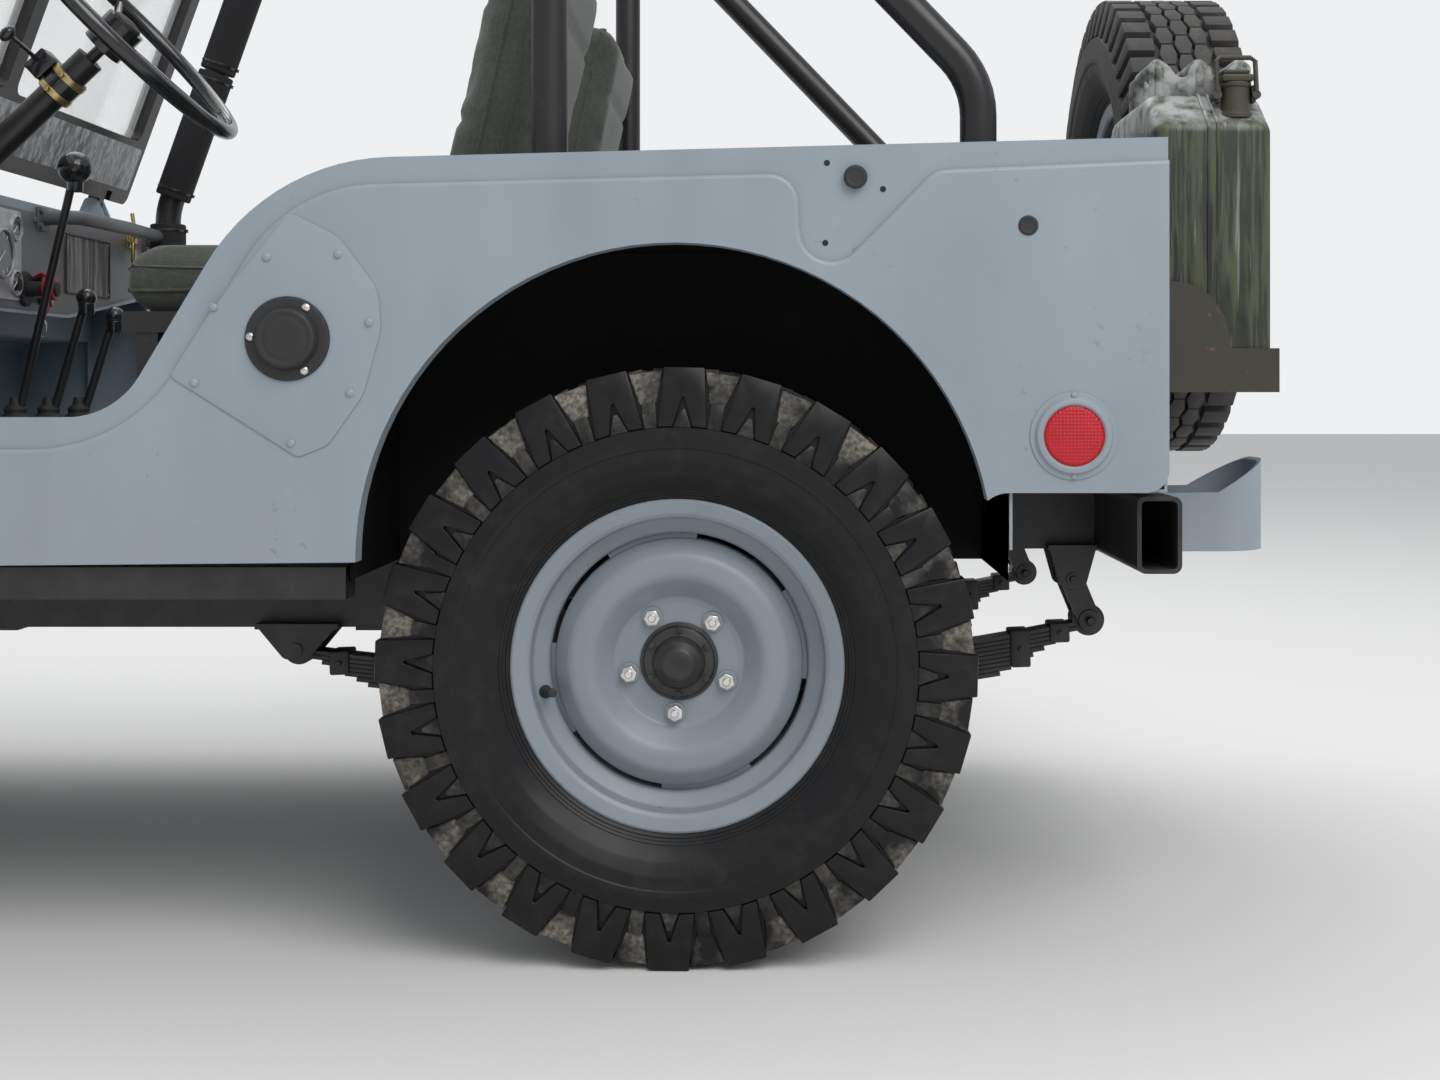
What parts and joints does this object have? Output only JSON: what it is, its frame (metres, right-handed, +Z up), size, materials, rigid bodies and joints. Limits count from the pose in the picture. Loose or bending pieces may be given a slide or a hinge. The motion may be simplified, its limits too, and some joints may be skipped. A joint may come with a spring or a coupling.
{
  "type": "army 4x4 car",
  "caption": "Open army off-road car with rounded front wings, roll cage, folding windscreen, lifting bonnet, steered front wheels, and a spare wheel and fuel can on its tail.",
  "frame": {"origin": "on the ground, under the middle of the car's length and width", "axes": "+X forward, +Y to the car's left, +Z up"},
  "size_m": [3.5205, 1.55, 1.825],
  "materials": {
    "body_paint": "satin",
    "black_paint": "semi-gloss",
    "engine_paint": "matte",
    "bare_steel": "dull",
    "tyre_rubber": "matte",
    "canvas": "woven",
    "screen_glass": "clear",
    "can_green": "satin",
    "lamp_lens": "clear",
    "lens_red": "gloss",
    "wheel_black": "gloss"
  },
  "bodies": {
    "root": {"chassis_frame": "black_paint", "cross_members": "black_paint", "rear_crossbar": "black_paint", "rear_bumperettes": "body_paint", "front_bumper": "black_paint", "body_tub": "body_paint", "floor_pan": "body_paint", "load_bed": "body_paint", "cowl_panel": "body_paint", "grille_panel": "body_paint", "front_wings": "body_paint", "lamps": "lamp_lens", "rocker_rails": "black_paint", "roll_cage": "black_paint", "seat_cushions": "canvas", "seat_backs": "canvas", "seat_frames": "black_paint", "steering_column": "black_paint", "engine": "engine_paint", "radiator": "black_paint", "propshafts": "black_paint", "exhaust": "bare_steel", "floor_controls": "black_paint", "jerry_can": "can_green", "rear_carriers": "can_green", "spare_wheel": "body_paint", "spare_tyre": "tyre_rubber", "fuel_filler": "body_paint", "fuel_tank": "black_paint", "leaf_springs": "black_paint", "front_axle": "black_paint", "rear_axle": "black_paint"},
    "knuckle_left": {"knuckle_left": "black_paint"},
    "knuckle_right": {"knuckle_right": "black_paint"},
    "tie_rod": {"tie_rod": "black_paint"},
    "wheel_front_left": {"wheel_front_left": "body_paint", "tyre_front_left": "tyre_rubber"},
    "wheel_front_right": {"wheel_front_right": "body_paint", "tyre_front_right": "tyre_rubber"},
    "wheel_rear_left": {"wheel_rear_left": "body_paint", "tyre_rear_left": "tyre_rubber"},
    "wheel_rear_right": {"wheel_rear_right": "body_paint", "tyre_rear_right": "tyre_rubber"},
    "steering_wheel": {"steering_wheel": "wheel_black"},
    "bonnet": {"bonnet": "body_paint"},
    "windscreen": {"windscreen_frame": "black_paint", "windscreen_glass": "screen_glass"}
  },
  "joints": [
    {"name": "steer", "type": "hinge", "parent": "root", "child": "knuckle_left", "pos_m": [1.202, 0.478, 0.4], "axis": [0, 0, 1], "range_deg": [-26, 26]},
    {"name": "steer_right", "type": "hinge", "parent": "root", "child": "knuckle_right", "pos_m": [1.202, -0.478, 0.4], "axis": [0, 0, 1], "range_deg": [-26, 26]},
    {"name": "tie_rod_pivot", "type": "hinge", "parent": "knuckle_left", "child": "tie_rod", "pos_m": [1.377, 0.478, 0.384], "axis": [0, 0, 1], "range_deg": [-26, 26]},
    {"name": "steering_wheel_turn", "type": "hinge", "parent": "root", "child": "steering_wheel", "pos_m": [0.005, 0.355, 1.32], "axis": [-0.7254, 0, 0.6884], "range_deg": [-484, 484]},
    {"name": "roll_front_left", "type": "hinge", "parent": "knuckle_left", "child": "wheel_front_left", "pos_m": [1.202, 0.623, 0.4], "axis": [0, 1, 0], "continuous": true},
    {"name": "roll_front_right", "type": "hinge", "parent": "knuckle_right", "child": "wheel_front_right", "pos_m": [1.202, -0.623, 0.4], "axis": [0, 1, 0], "continuous": true},
    {"name": "roll_rear_left", "type": "hinge", "parent": "root", "child": "wheel_rear_left", "pos_m": [-0.855, 0.623, 0.4], "axis": [0, 1, 0], "continuous": true},
    {"name": "roll_rear_right", "type": "hinge", "parent": "root", "child": "wheel_rear_right", "pos_m": [-0.855, -0.623, 0.4], "axis": [0, 1, 0], "continuous": true},
    {"name": "bonnet_hinge", "type": "hinge", "parent": "root", "child": "bonnet", "pos_m": [0.473, 0, 1.114], "axis": [0, 1, 0], "range_deg": [-80, 0]},
    {"name": "windscreen_hinge", "type": "hinge", "parent": "root", "child": "windscreen", "pos_m": [0.395, 0, 1.146], "axis": [0, 1, 0], "range_deg": [0, 112]}
  ],
  "couplings": [
    {"joint": "steer_right", "follows": "steer", "ratio": 1},
    {"joint": "tie_rod_pivot", "follows": "steer", "ratio": -1},
    {"joint": "steering_wheel_turn", "follows": "steer", "ratio": 18.6}
  ]
}
